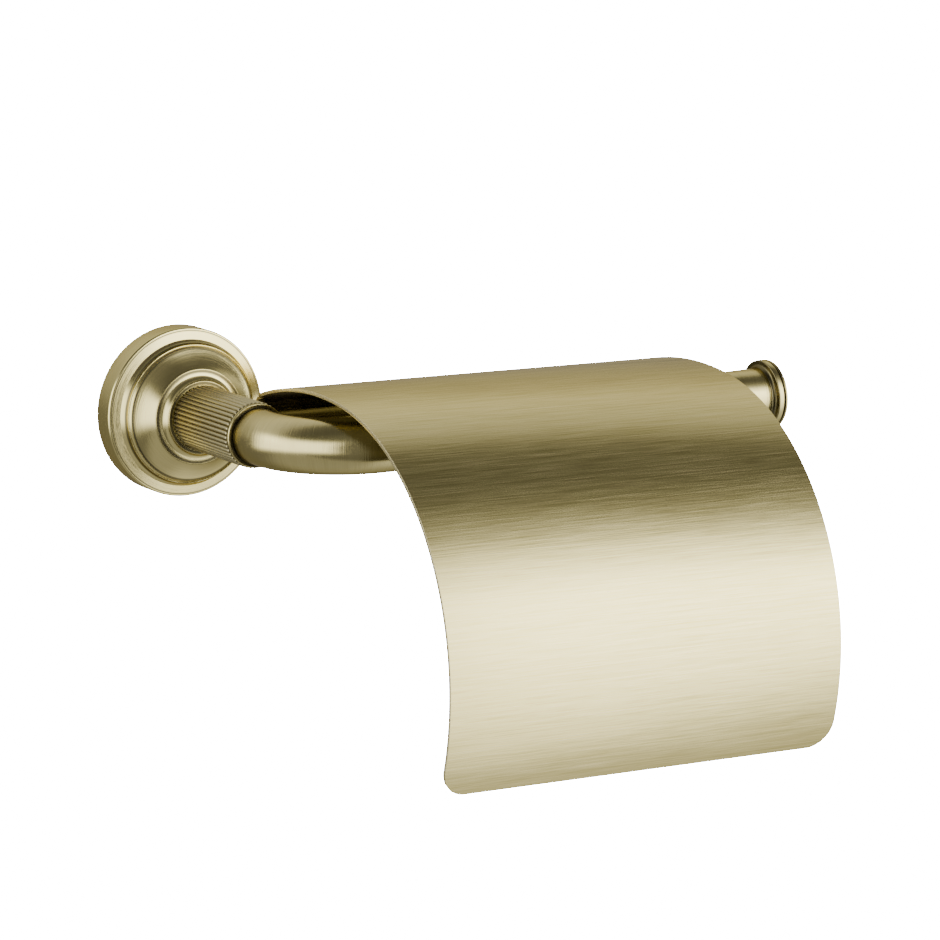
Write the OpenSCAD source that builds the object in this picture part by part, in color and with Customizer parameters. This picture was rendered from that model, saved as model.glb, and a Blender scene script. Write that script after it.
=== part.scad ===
// Wall-mounted toilet paper holder: a stepped rosette, a reeded neck, a bent tube that
// carries the roll, and a curved cover that swings up on a rod behind the roll.
// The wall is the plane Y = 0 and the holder stands out of it towards -Y. The neck's axis is
// the Y axis, the bar runs towards +X, and +Z is up.

/* [Rosette] */
// Diameter of the rosette's rim
rosette_d = 55; // [52:0.5:64]
// Height of the rim's outer edge above the wall
rim_h = 8.7; // [8.4:0.1:12]
// Rise of the rim's face towards the first step
face_rise = 0.9; // [0.3:0.1:1.5]
// Diameter where the first step rises from the rim's face
step_d = 47.6; // [46:0.1:50]
// Height of the first step above the rim's face
step_rise = 2.6; // [2:0.1:5]
// Outer diameter of the wide cove
cove_d = 43.1; // [40:0.1:44.6]
// Height gained by the wide cove
cove_rise = 4.9; // [3:0.1:8]
// Radius on the rim's front edge
rim_round = 0.7; // [0.2:0.1:1.5]

/* [Base collar] */
// Diameter of the collar at the neck's foot
collar_d = 31; // [29:0.1:34]
// Diameter of the collar's raised seat for the neck
collar_top_d = 23.8; // [22.6:0.1:25.6]
// Height of the collar's seat above its lower face
collar_rise = 2.2; // [1:0.1:4]
// Depth to which the collar is let into the rosette
collar_sink = 2.5; // [1.5:0.1:3]

/* [Neck] */
// Diameter over the reeds
neck_d = 21.1; // [20:0.1:23]
// Length of the reeded sleeve
neck_len = 36.9; // [32:0.1:50]
// Number of reeds round the sleeve
reed_count = 44; // [32:2:52]
// Depth of the flutes between the reeds
reed_depth = 0.7; // [0.4:0.05:0.9]
// Bevel on the ends of the reeds
reed_bevel = 0.6; // [0.4:0.05:1.2]
// Diameter of the plain lip ring
lip_d = 20.4; // [19.6:0.1:23]
// Width of the plain lip ring
lip_w = 1; // [0.8:0.1:3]
// Diameter of the spacer that leaves the shadow gap
gap_d = 16.6; // [15.5:0.1:17.4]
// Width of the shadow gap
gap_w = 1.1; // [0.6:0.1:2]

/* [Arm] */
// Outer diameter of the tube
tube_d = 17.8; // [17.6:0.1:19]
// Wall of the tube
tube_wall = 1.5; // [1.2:0.1:1.8]
// Straight stub of the tube before its bend
stub_len = 4.6; // [2:0.1:10]
// Radius of the bend at the tube's centre line
bend_r = 29; // [25:0.5:34]
// Straight length of the bar after the bend
bar_len = 135; // [132:1:160]
// Rise of the bar towards its free end, in degrees
bar_rise = 2; // [1.4:0.1:2.6]

/* [Bar end] */
// Diameter of the end disc
disc_d = 22.6; // [21:0.1:26]
// Thickness of the end disc's rim
disc_t = 2; // [1.5:0.1:4]
// Radius of the small cove between the bar and the end disc
end_cove = 1.2; // [0.8:0.1:1.6]
// Width of the groove behind the end button
groove_w = 0.5; // [0.3:0.05:1.2]
// Depth of the groove behind the end button
groove_depth = 0.8; // [0.4:0.1:1.5]
// Diameter of the end button
button_d = 22.4; // [20.5:0.1:26]
// Thickness of the end button's rim
button_t = 1; // [0.7:0.1:3]

/* [Cover] */
// Width of the cover along the bar
cover_w = 140; // [134:1:150]
// Thickness of the sheet
sheet_t = 1.2; // [1:0.05:1.4]
// Outer radius of the flat arc over the bar
top_r = 120; // [112:1:128]
// Outer radius of the front arc
front_r = 80; // [70:1:90]
// Angle from level at which the front arc takes over from the top arc
front_start = 81.3; // [76:0.1:86]
// Angle below level at which the front arc ends
front_end = 22.2; // [5:0.1:30]
// Distance by which the top arc's centre lies behind the bar
set_back = 13; // [10:0.5:16]
// Clearance between the bar and the sheet, at the cover's free side
cover_gap = 0.4; // [0.3:0.05:1.5]
// Radius of the lower corners
corner_r = 8.5; // [4:0.5:20]
// Outer radius of the bend above the knuckle
rear_r = 7; // [6:0.1:8]
// Width by which the sheet overhangs the knuckle towards the neck
inner_relief = 5.7; // [5:0.1:5.9]
// Width by which the sheet overhangs the knuckle towards the free side
outer_relief = 9; // [8.6:0.1:20]
// Clearance over the hinge's flanges under the overhanging sheet
relief_gap = 1.2; // [0.8:0.1:1.6]
// Clearance beside the neck, where the sheet swings past it
neck_gap = 0.5; // [0.3:0.1:1]
// How far behind the hinge the notch for the neck begins
notch_back = 6; // [5.6:0.1:7]

/* [Hinge] */
// Distance of the hinge rod from the neck's foot
hinge_on_neck = 17.1; // [14:0.1:20]
// Diameter of the hinge rod
rod_d = 3.5; // [3:0.1:3.8]
// Wall of the bushes in the knuckle
bush_wall = 0.5; // [0.4:0.05:0.6]
// Length of each bush
bush_len = 14; // [8:1:30]
// Thickness of the bushes' flanges
flange_t = 0.8; // [0.6:0.1:1.2]
// Width of the collar on the rod beside the neck
rod_collar_w = 2; // [1.5:0.1:3]
// Room for the wave washer
washer_room = 0.6; // [0.5:0.05:1]
// Length of the cap nut on the rod's end
nut_len = 6; // [5:0.1:6.6]

/* [Fixings] */
// Thickness of the wall plate
plate_t = 6; // [5.2:0.1:6.5]
// Clearance between the wall plate and the rosette
plate_gap = 0.2; // [0.1:0.05:0.6]
// Distance between the plate's two screw holes
screw_spacing = 32; // [30:0.5:34]
// Diameter of the plate's screw holes
screw_hole_d = 5; // [4:0.1:5.5]
// Diameter of the grub screw
grub_d = 4; // [3:0.1:4.4]
// Wall of the rosette's rim
rim_wall = 3.5; // [3:0.1:4.5]
// Diameter of the tie bolt
bolt_d = 8; // [6:0.5:8.4]
// Height of the tie bolt's head
bolt_head_h = 4.6; // [4:0.1:5]
// Thickness of the washer under the bolt's head
bolt_washer_t = 1.2; // [0.8:0.1:1.6]
// Diameter of the dowel pins
dowel_d = 2; // [1.5:0.1:2.2]
// Diameter of the end button's stem
stem_d = 6; // [4:0.5:8]
// Length of the end button's stem beyond the end disc
stem_len = 9; // [6:0.5:12]
// Radial clearance of the turned fits
fit = 0.05; // [0.02:0.01:0.08]

/* [Hidden] */

// Finishes
brass = "#b3a676";
steel = "silver";
nylon = "whitesmoke";

// Heights above the wall
step_foot = rim_h + face_rise;
step_h = step_foot + step_rise;
bead_h = 0.9;
cove_foot = step_h + bead_h;
cove_h = cove_foot + cove_rise;
collar_face = cove_h + 0.2;
collar_foot = collar_face - collar_sink;
neck_foot = collar_face + collar_rise;
neck_end = neck_foot + neck_len;
lip_end = neck_end + lip_w;
tube_foot = lip_end + gap_w;
arm_out = tube_foot + stub_len + bend_r;

// Inside of the rosette
cavity_r = rosette_d/2 - rim_wall;
plate_r = cavity_r - plate_gap;
cavity_h = plate_t + plate_gap;
bolt_washer_r = 8.5;
head_r = bolt_d/2 + 2.5;
washer_seat = cavity_h + bolt_head_h + bolt_washer_t;
pocket_r = bolt_washer_r + 1.5;
groove_at = plate_t/2;
groove_cut = 1.6;
grub_point_r = 0.6;

// Through holes
bolt_hole_r = bolt_d/2 + 0.2;
dowel_at = bolt_hole_r + dowel_d/2 + 0.6;
dowel_hold = 4.5;
stem_hole_r = stem_d/2 + 0.1;

// Arm
tube_r = tube_d/2;
bore_r = tube_r - tube_wall;
plug_r = bore_r - fit;
nose_r = bore_r - 1.6;
nose_len = 8;
end_plug_len = 14;
bar_end = bend_r + bar_len;
disc_face = bar_end + end_cove;
disc_end = disc_face + disc_t;
button_face = disc_end + groove_w;

// Hinge stack along the rod, from the neck outwards
collar_gap = 0.1;
play = 0.1;
rod_r = rod_d/2;
bush_r = rod_r + fit + bush_wall;
knuckle_in_r = bush_r + 0.02;
knuckle_r = knuckle_in_r + sheet_t;
flange_r = knuckle_r - 0.1;
hinge_y = -(neck_foot + hinge_on_neck);
rod_root = bolt_hole_r + 0.5;
rod_collar_x = neck_d/2 + collar_gap;
washer_x = rod_collar_x + rod_collar_w;
flange_x = washer_x + washer_room + play;
knuckle_x = flange_x + flange_t;
cover_x = knuckle_x - inner_relief;
swing_x = neck_d/2 + neck_gap;
swing_y = hinge_y - notch_back;
cover_end = cover_x + cover_w;
knuckle_end = cover_end - outer_relief;
nut_x = knuckle_end + flange_t + 2*play;
rod_tip = nut_x + nut_len - 1.6;

// Section of the cover, seen along X: each arc's centre is [y, z]
free_side_z = cover_end*tan(bar_rise);
over_bar = top_r - sheet_t - tube_r - cover_gap;
top_c = [-arm_out + set_back, free_side_z - sqrt(over_bar*over_bar - set_back*set_back)];
front_c = top_c + (top_r - front_r)*[-cos(front_start), sin(front_start)];
rear_y = hinge_y + knuckle_r - rear_r;
rear_run = (rear_y - top_c[0])/(top_r - rear_r);
rear_c = [rear_y, top_c[1] + (top_r - rear_r)*sqrt(1 - rear_run*rear_run)];
front_foot_z = front_c[1] - front_r*sin(front_end);
curl_gap = 100;
seam_dip = 0.002;

slack = 0.5;
smooth = 96;

// Points of an arc of an ellipse, from one angle to the other
function arc_points(centre, rx, ry, from, to, steps) =
    [for (i = [0:steps]) let (a = from + (to - from)*i/steps) centre + [rx*cos(a), ry*sin(a)]];

// A solid turned about the neck's axis: each point is [radius, height above the wall]
module turned(profile) {
    rotate([90, 0, 0])
        rotate_extrude($fn = smooth)
            polygon(profile);
}

// A solid turned about the bar's axis: each point is [radius, distance along the bar]
module turned_on_bar(profile) {
    on_bar()
        rotate_extrude($fn = smooth)
            polygon(profile);
}

// Places what is modelled along +Z on the bar's axis, with its zero at the neck's axis
module on_bar() {
    rotate([0, -bar_rise, 0])
        translate([0, -arm_out, 0])
            rotate([0, 90, 0])
                children();
}

// A round rod parallel to the neck
module neck_rod(r, from, to) {
    translate([0, -from, 0])
        rotate([90, 0, 0])
            cylinder(r = r, h = to - from, $fn = smooth);
}

// A round rod on the hinge's axis
module hinge_cylinder(r, from, to) {
    translate([from, hinge_y, 0])
        rotate([0, 90, 0])
            cylinder(r = r, h = to - from, $fn = smooth);
}

// A flat ring on the hinge's axis
module hinge_ring(r_out, r_in, from, to) {
    difference() {
        hinge_cylinder(r_out, from, to);
        hinge_cylinder(r_in, from - slack, to + slack);
    }
}

// The two dowel pins, one through each end of the neck
module dowels() {
    translate([0, 0, dowel_at])
        neck_rod(dowel_d/2, collar_foot - 2.5, neck_foot + dowel_hold);
    translate([0, 0, -dowel_at])
        neck_rod(dowel_d/2, neck_end - dowel_hold, tube_foot + 2.6);
}

// The grub screw's axis: radial, below the neck
module on_grub_axis() {
    translate([0, -groove_at, 0])
        rotate([180, 0, 0])
            children();
}

// Disc on the wall, with a groove for the grub screw in its edge
module wall_plate() {
    color(steel)
        difference() {
            turned([[0, 0], [plate_r, 0], [plate_r, groove_at - groove_cut],
                    [plate_r - groove_cut, groove_at], [plate_r, groove_at + groove_cut],
                    [plate_r, plate_t], [0, plate_t]]);
            for (side = [-1, 1])
                translate([0, 0, side*screw_spacing/2])
                    neck_rod(screw_hole_d/2, -slack, plate_t + slack);
        }
}

module grub_screw() {
    r = grub_d/2 - fit;
    cone_h = r - grub_point_r;
    foot = plate_r - groove_cut + grub_point_r;
    head = rosette_d/2 - 0.3;
    color(steel)
        on_grub_axis()
            difference() {
                rotate_extrude($fn = smooth)
                    polygon([[0, foot], [grub_point_r, foot], [r, foot + cone_h], [r, head], [0, head]]);
                translate([0, 0, head - 1.5])
                    cylinder(r = grub_d*0.28, h = 2, $fn = 6);
            }
}

// Turned flange: rim, small cove, double bead and wide cove, hollow behind
module rosette() {
    rim_r = rosette_d/2;
    step_r = step_d/2;
    step_top_r = cove_d/2 + 1;
    cove_r = cove_d/2;
    seat_r = collar_d/2 + fit;
    face = concat(
        [[cavity_r, 0], [rim_r, 0]],
        arc_points([rim_r - rim_round, rim_h - rim_round], rim_round, rim_round, 0, 90, 6),
        [[step_r, step_foot], [step_r - 0.3, step_foot + 0.4]],
        arc_points([step_r - 0.3, step_h], step_r - 0.3 - step_top_r, step_rise - 0.5, 270, 180, 8),
        [[step_top_r - 0.3, step_h + 0.35], [step_top_r - 0.4, step_h + 0.25],
         [cove_r + 0.1, cove_foot + 0.1], [cove_r, cove_foot - 0.05]],
        arc_points([cove_r - 0.1, cove_h], cove_r - 0.1 - seat_r, cove_rise, 270, 180, 18),
        [[seat_r, collar_foot], [0, collar_foot], [0, washer_seat],
         [pocket_r, washer_seat], [pocket_r, cavity_h], [cavity_r, cavity_h]]);
    color(brass)
        difference() {
            turned(face);
            neck_rod(bolt_hole_r, washer_seat - slack, collar_foot + slack);
            dowels();
            on_grub_axis()
                translate([0, 0, cavity_r - slack])
                    cylinder(r = grub_d/2, h = rim_wall + 2*slack, $fn = smooth);
        }
}

// Small turned ring that carries the neck
module base_collar() {
    r = collar_d/2;
    top_r_here = collar_top_d/2;
    shoulder_r = top_r_here + 1.6;
    face = concat(
        [[0, collar_foot], [r, collar_foot], [r, collar_face - 0.25], [r - 0.25, collar_face],
         [shoulder_r, collar_face]],
        arc_points([shoulder_r, neck_foot - 0.15], shoulder_r - top_r_here, collar_rise - 0.15, 270, 180, 8),
        [[top_r_here - 0.15, neck_foot], [0, neck_foot]]);
    color(brass)
        difference() {
            turned(face);
            neck_rod(bolt_hole_r, collar_foot - slack, neck_foot + slack);
            dowels();
        }
}

module bolt_washer() {
    color(steel)
        difference() {
            neck_rod(bolt_washer_r, washer_seat - bolt_washer_t, washer_seat);
            neck_rod(bolt_hole_r, cavity_h, washer_seat + slack);
        }
}

// Long bolt that holds rosette, collar, neck and arm together
module tie_bolt() {
    head_foot = washer_seat - bolt_washer_t;
    color(steel)
        difference() {
            turned([[0, cavity_h], [head_r - 0.4, cavity_h], [head_r, cavity_h + 0.4],
                    [head_r, head_foot], [bolt_d/2, head_foot],
                    [bolt_d/2, tube_foot + nose_len + 1.6], [bolt_d/2 - 0.8, tube_foot + nose_len + 2.4],
                    [0, tube_foot + nose_len + 2.4]]);
            translate([0, -cavity_h + slack, 0])
                rotate([90, 0, 0])
                    cylinder(r = bolt_d*0.43, h = 3, $fn = 6);
        }
}

module dowel_pins() {
    color(steel)
        dowels();
}

// Outline of the reeds: flat-bottomed flutes between rounded ridges
function reed_outline() =
    [for (i = [0:reed_count - 1], p = [[-0.5, 1], [-0.42, 0.98], [-0.3, 0.3], [-0.14, 0], [0.14, 0],
                                        [0.3, 0.3], [0.42, 0.98]])
        let (a = (i + p[0])*360/reed_count, r = neck_d/2 - reed_depth*(1 - p[1]))
            [r*cos(a), r*sin(a)]];

// Fluted sleeve with bevelled ends, drilled for the bolt, the pins and the hinge rod
module reeded_neck() {
    r = neck_d/2;
    inner = r - reed_bevel;
    color(brass)
        difference() {
            intersection() {
                translate([0, -neck_foot, 0])
                    rotate([90, 0, 0])
                        linear_extrude(neck_len)
                            polygon(reed_outline());
                turned([[0, neck_foot], [inner, neck_foot], [r + 0.01, neck_foot + reed_bevel],
                        [r + 0.01, neck_end - reed_bevel], [inner, neck_end], [0, neck_end]]);
            }
            neck_rod(bolt_hole_r, neck_foot - slack, neck_end + slack);
            dowels();
            hinge_cylinder(rod_r + fit, rod_root, r + slack);
        }
}

module lip_ring() {
    r = lip_d/2;
    edge = 0.4;
    color(brass)
        difference() {
            turned(concat(
                [[0, neck_end], [r - 0.2, neck_end], [r, neck_end + 0.2]],
                arc_points([r - edge, lip_end - edge], edge, edge, 0, 90, 5),
                [[0, lip_end]]));
            neck_rod(bolt_hole_r, neck_end - slack, lip_end + slack);
            dowels();
        }
}

// Small ring between the lip and the tube
module gap_spacer() {
    color(brass)
        difference() {
            neck_rod(gap_d/2, lip_end, tube_foot);
            neck_rod(bolt_hole_r, lip_end - slack, tube_foot + slack);
            dowels();
        }
}

// Stepped plug brazed into the tube's wall end, threaded for the tie bolt
module arm_insert() {
    color(steel)
        difference() {
            turned([[0, tube_foot], [plug_r, tube_foot], [plug_r, tube_foot + stub_len],
                    [nose_r, tube_foot + stub_len + 0.6], [nose_r, tube_foot + nose_len],
                    [0, tube_foot + nose_len]]);
            neck_rod(bolt_d/2 + 0.05, tube_foot - slack, tube_foot + nose_len + slack);
            dowels();
        }
}

// The arm as a solid rod of radius r: stub, bend and bar
module arm_rod(r, extra) {
    rotate([0, -bar_rise, 0]) {
        neck_rod(r, tube_foot - extra, tube_foot + stub_len);
        translate([bend_r, -(tube_foot + stub_len), 0])
            rotate([0, 0, 180])
                rotate_extrude(angle = 90, $fn = smooth)
                    translate([bend_r, 0])
                        circle(r = r, $fn = smooth);
        translate([bend_r, -arm_out, 0])
            rotate([0, 90, 0])
                cylinder(r = r, h = bar_len + extra, $fn = smooth);
    }
}

module arm_tube() {
    color(brass)
        difference() {
            arm_rod(tube_r, 0);
            arm_rod(bore_r, slack);
        }
}

// Threaded plug in the tube's free end
module end_insert() {
    color(steel)
        difference() {
            turned_on_bar([[0, bar_end - end_plug_len], [plug_r, bar_end - end_plug_len],
                           [plug_r, bar_end], [0, bar_end]]);
            on_bar()
                translate([0, 0, bar_end - end_plug_len - slack])
                    cylinder(r = stem_d/2 + 0.05, h = end_plug_len + 2*slack, $fn = smooth);
        }
}

// Wider disc that stops the roll, with a small cove where it meets the bar
module end_disc() {
    r = disc_d/2;
    edge = 0.35;
    color(brass)
        difference() {
            turned_on_bar(concat(
                [[0, bar_end], [tube_r, bar_end]],
                arc_points([tube_r + end_cove, bar_end], end_cove, end_cove, 180, 90, 6),
                [[r - edge, disc_face]],
                arc_points([r - edge, disc_face + edge], edge, edge, -90, 0, 4),
                arc_points([r - edge, disc_end - edge], edge, edge, 0, 90, 4),
                [[0, disc_end]]));
            on_bar()
                translate([0, 0, bar_end - slack])
                    cylinder(r = stem_hole_r, h = end_cove + disc_t + 2*slack, $fn = smooth);
        }
}

// Outer disc with its groove and a threaded stem
module end_button() {
    r = button_d/2;
    stem_r = stem_d/2;
    stem_foot = bar_end - stem_len;
    stem_bevel = stem_r/5;
    edge = 0.35;
    dome = 0.3;
    color(brass)
        turned_on_bar(concat(
            [[0, stem_foot], [stem_r - stem_bevel, stem_foot],
             [stem_r, stem_foot + stem_bevel], [stem_r, disc_end],
             [r - groove_depth, disc_end], [r - groove_depth, button_face], [r - edge, button_face]],
            arc_points([r - edge, button_face + edge], edge, edge, -90, 0, 4),
            arc_points([r - edge, button_face + button_t - edge], edge, edge, 0, 70, 4),
            [[r - 2, button_face + button_t + dome*0.3], [r/2, button_face + button_t + dome*0.85],
             [0, button_face + button_t + dome]]));
}

// Rod screwed into the side of the neck
module hinge_rod() {
    color(steel)
        hinge_cylinder(rod_r, rod_root, rod_tip);
}

module hinge_collar() {
    color(brass)
        hinge_ring(flange_r, rod_r, rod_collar_x, rod_collar_x + rod_collar_w);
}

// Dished washer that takes up the play along the rod
module wave_washer() {
    thick = 0.25;
    rise = washer_room - thick;
    r_in = rod_r + 0.2;
    r_out = flange_r - 0.2;
    color(steel)
        translate([washer_x, hinge_y, 0])
            rotate([0, 90, 0])
                rotate_extrude($fn = smooth)
                    polygon([[r_in, 0], [r_in, thick], [r_out, washer_room], [r_out, rise]]);
}

// A flanged bush; its flange faces the way given by side
module bush(x, side) {
    color(nylon)
        difference() {
            union() {
                hinge_cylinder(bush_r, min(x, x + side*bush_len), max(x, x + side*bush_len));
                hinge_cylinder(flange_r, min(x, x - side*flange_t), max(x, x - side*flange_t));
            }
            hinge_cylinder(rod_r + fit, x - bush_len - slack, x + bush_len + slack);
        }
}

module bush_inner() {
    bush(knuckle_x, 1);
}

module bush_outer() {
    bush(knuckle_end, -1);
}

// Domed nut on the rod's end
module cap_nut() {
    dome_h = 2;
    color(brass)
        difference() {
            translate([nut_x, hinge_y, 0])
                rotate([0, 90, 0])
                    rotate_extrude($fn = smooth)
                        polygon(concat(
                            [[0, 0], [flange_r, 0]],
                            arc_points([0, nut_len - dome_h], flange_r, dome_h, 0, 90, 8)));
            hinge_cylinder(rod_r, nut_x - slack, rod_tip);
        }
}

// Places what is drawn in the XY plane on the YZ plane, and extrudes along +X from x
module across(x) {
    translate([x, 0, 0])
        rotate([90, 0, 90])
            children();
}

// The form that the cover's outer face follows, or its inner face with inset = sheet_t. The
// top arc's ends dip a hair under the other two arcs, so that the faces cross cleanly.
module cover_form(inset) {
    front_seam = front_c[0] - (front_r - inset)*cos(front_start);
    rear_seam = rear_c[0] + (rear_r - inset)*rear_run;
    foot = front_c[1] - front_r/8;
    intersection() {
        translate(front_c)
            circle(r = front_r - inset, $fn = 4*smooth);
        translate([front_c[0] - front_r, front_c[1] - front_r])
            square([front_seam + 2 - front_c[0] + front_r, 2*front_r]);
    }
    intersection() {
        translate(top_c)
            circle(r = top_r - inset - seam_dip, $fn = 4*smooth);
        translate([front_seam, foot])
            square([rear_seam - front_seam, top_r]);
    }
    translate(rear_c)
        circle(r = rear_r - inset, $fn = smooth);
}

// Where the bent part of the sheet lies: over the line from its foot to the riser's top
module bent_side() {
    far = 2*top_r;
    polygon([front_c, front_c - far*[cos(front_end), sin(front_end)], [-far, far], [far, far],
             [far, rear_c[1]], rear_c]);
}

// Section of the sheet: arcs, riser and knuckle
module cover_section() {
    difference() {
        intersection() {
            cover_form(0);
            bent_side();
        }
        cover_form(sheet_t);
    }
    translate([hinge_y + knuckle_r - sheet_t, 0])
        square([sheet_t, rear_c[1]]);
    translate([hinge_y, 0])
        difference() {
            circle(r = knuckle_r, $fn = smooth);
            circle(r = knuckle_in_r, $fn = smooth);
            polygon([[0, 0], [2*knuckle_r, 0], [2*knuckle_r, 2*knuckle_r],
                     2*knuckle_r*[cos(curl_gap), sin(curl_gap)]]);
        }
}

// Notch round the hinge's flanges, from one x to the other
module flange_relief(from, to) {
    far = 2*rear_r;
    translate([from, hinge_y - far, flange_r + relief_gap - far])
        cube([to - from, 2*far, far]);
}

// Rounded notch in the rear corner, which lets the cover swing past the neck
module neck_relief() {
    round_r = swing_x - cover_x;
    linear_extrude(top_r)
        difference() {
            translate([cover_x - slack, swing_y])
                square([round_r + slack, 2*rear_r]);
            translate([swing_x, swing_y])
                circle(r = round_r, $fn = smooth);
        }
}

// What is cut away to round one lower corner, at x; side is -1 or 1
module corner_cut(x, side) {
    translate([x, front_c[0], front_foot_z])
        rotate([90, 0, 0])
            linear_extrude(2*front_r)
                difference() {
                    translate([side > 0 ? -corner_r : -slack, -slack])
                        square([corner_r + slack, corner_r + slack]);
                    translate([-side*corner_r, corner_r])
                        circle(r = corner_r, $fn = smooth);
                }
}

// Curved cover: front arc, top arc, rear bend, riser and the knuckle rolled round the bushes
module cover_sheet() {
    color(brass)
        difference() {
            across(cover_x)
                linear_extrude(cover_w)
                    cover_section();
            flange_relief(cover_x - slack, knuckle_x);
            flange_relief(knuckle_end, cover_end + slack);
            neck_relief();
            corner_cut(cover_x, -1);
            corner_cut(cover_end, 1);
        }
}

wall_plate();
grub_screw();
rosette();
base_collar();
bolt_washer();
tie_bolt();
dowel_pins();
reeded_neck();
lip_ring();
gap_spacer();
arm_insert();
arm_tube();
end_insert();
end_disc();
end_button();
hinge_rod();
hinge_collar();
wave_washer();
bush_inner();
bush_outer();
cap_nut();
cover_sheet();
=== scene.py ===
import math

import bpy
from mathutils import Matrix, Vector


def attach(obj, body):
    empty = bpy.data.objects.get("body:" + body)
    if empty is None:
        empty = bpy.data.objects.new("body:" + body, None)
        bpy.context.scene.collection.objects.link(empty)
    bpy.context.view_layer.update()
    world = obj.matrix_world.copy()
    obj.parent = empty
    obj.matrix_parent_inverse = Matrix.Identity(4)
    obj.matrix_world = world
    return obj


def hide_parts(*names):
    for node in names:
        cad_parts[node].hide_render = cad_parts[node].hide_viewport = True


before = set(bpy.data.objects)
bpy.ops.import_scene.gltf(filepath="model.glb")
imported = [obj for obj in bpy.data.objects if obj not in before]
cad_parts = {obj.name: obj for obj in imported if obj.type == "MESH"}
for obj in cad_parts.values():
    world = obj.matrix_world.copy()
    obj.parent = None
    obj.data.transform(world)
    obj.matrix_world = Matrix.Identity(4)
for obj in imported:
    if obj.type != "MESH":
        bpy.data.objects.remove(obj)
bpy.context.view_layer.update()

mm = 0.001
# what several pieces share, in mm and degrees: the wall is at Y = 0 and the holder stands out towards -Y
layout = {"barOut": 93, "barRise": 2, "hingeOut": 37.5, "rodRadius": 1.75, "rodCollar": 3.42, "tubeRadius": 8.9,
          "boltHole": 4.2, "collarFoot": 15.7, "neckFoot": 20.4, "lipFoot": 57.3, "gapFoot": 58.3, "tubeFoot": 59.4}
print("frame loaded")


# small helpers for working in edit mode

def leaveEditMode():
    if bpy.context.object and bpy.context.object.mode != "OBJECT":
        bpy.ops.object.mode_set(mode="OBJECT")


def deselectAll():
    leaveEditMode()
    bpy.ops.object.select_all(action="DESELECT")


def workOn(piece):
    deselectAll()
    piece.select_set(True)
    bpy.context.view_layer.objects.active = piece


def settle(piece):  # the place goes into the mesh, the object back to the origin
    workOn(piece)
    bpy.ops.object.transform_apply(location=True, rotation=True, scale=True)


def startPoint(name, place):  # one vertex, selected, in edit mode
    deselectAll()
    bpy.ops.mesh.primitive_plane_add(size=mm, location=place)
    piece = bpy.context.object
    piece.name = piece.data.name = name
    settle(piece)
    bpy.ops.object.mode_set(mode="EDIT")
    bpy.ops.mesh.select_mode(type="VERT")
    bpy.ops.mesh.select_all(action="SELECT")
    bpy.ops.mesh.merge(type="CENTER")
    return piece


def drawOn(step):  # carries the selected vertices on by one step
    bpy.ops.mesh.extrude_region_move(TRANSFORM_OT_translate={"value": tuple(step)})


def sweep(steps, angle, middle, line):  # carries the selection round; spin counts its angle backwards
    bpy.ops.mesh.spin(steps=steps, angle=-angle, center=middle, axis=line)


def selectWhere(piece, kind, test):  # kind is VERT or FACE; test gets a place (and a normal)
    bpy.ops.mesh.select_mode(type=kind)
    bpy.ops.mesh.select_all(action="DESELECT")
    bpy.ops.object.mode_set(mode="OBJECT")
    found = 0
    parts = piece.data.vertices if kind == "VERT" else piece.data.polygons
    for part in parts:
        place = part.co if kind == "VERT" else part.center
        part.select = bool(test(place / mm, part.normal))
        found += part.select
    bpy.ops.object.mode_set(mode="EDIT")
    return found


def closeUp():  # merges doubles and turns all faces outwards
    bpy.ops.mesh.select_all(action="SELECT")
    bpy.ops.mesh.remove_doubles(threshold=2e-6)
    bpy.ops.mesh.select_all(action="SELECT")
    bpy.ops.mesh.normals_make_consistent(inside=False)


def selectLast(piece, count, test=None):  # picks among the vertices that were made last
    bpy.ops.mesh.select_mode(type="VERT")
    bpy.ops.mesh.select_all(action="DESELECT")
    bpy.ops.object.mode_set(mode="OBJECT")
    for vertex in piece.data.vertices[-count:]:
        vertex.select = test(vertex.co) if test else True
    bpy.ops.object.mode_set(mode="EDIT")


def addModifier(piece, kind, values):
    workOn(piece)
    modifier = piece.modifiers.new(kind.title(), kind)
    for key, value in values.items():
        setattr(modifier, key, value)
    bpy.ops.object.modifier_apply(modifier=modifier.name)


def smooth(piece, degrees=32):
    workOn(piece)
    bpy.ops.object.shade_smooth_by_angle(angle=math.radians(degrees))


def arc(middle, radius, start, end, count):  # points of an arc, with both its ends
    rise = radius if isinstance(radius, tuple) else (radius, radius)
    turns = [math.radians(start + (end - start) * i / count) for i in range(count + 1)]
    return [(middle[0] + rise[0] * math.cos(t), middle[1] + rise[1] * math.sin(t)) for t in turns]


def hollow(first, last, sag, count):  # points of a shallow concave arc between two points, with both its ends
    start, end = Vector(first), Vector(last)
    chord = end - start
    radius = (chord.length_squared / 4 + sag * sag) / (2 * sag)
    middle = (start + end) / 2 + Vector((-chord.y, chord.x)).normalized() * (sag - radius)
    turns = [math.atan2(point.y - middle.y, point.x - middle.x) % (2 * math.pi) for point in (start, end)]
    steps = [turns[0] + (turns[1] - turns[0]) * i / count for i in range(count + 1)]
    return [(middle.x + radius * math.cos(t), middle.y + radius * math.sin(t)) for t in steps]


# the three axes that turned pieces are made on: where a radius and a height go, and the line they turn about
axes = {
    "neck": {"place": lambda r, h: Vector((r, -h, 0)) * mm, "middle": (0, 0, 0), "line": (0, 1, 0), "tilt": 0},
    "bar": {"place": lambda r, h: Vector((h, -layout["barOut"], r)) * mm,
            "middle": (0, -layout["barOut"] * mm, 0), "line": (1, 0, 0), "tilt": -layout["barRise"]},
    "hinge": {"place": lambda r, h: Vector((h, -layout["hingeOut"], r)) * mm,
              "middle": (0, -layout["hingeOut"] * mm, 0), "line": (1, 0, 0), "tilt": 0},
}


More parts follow.
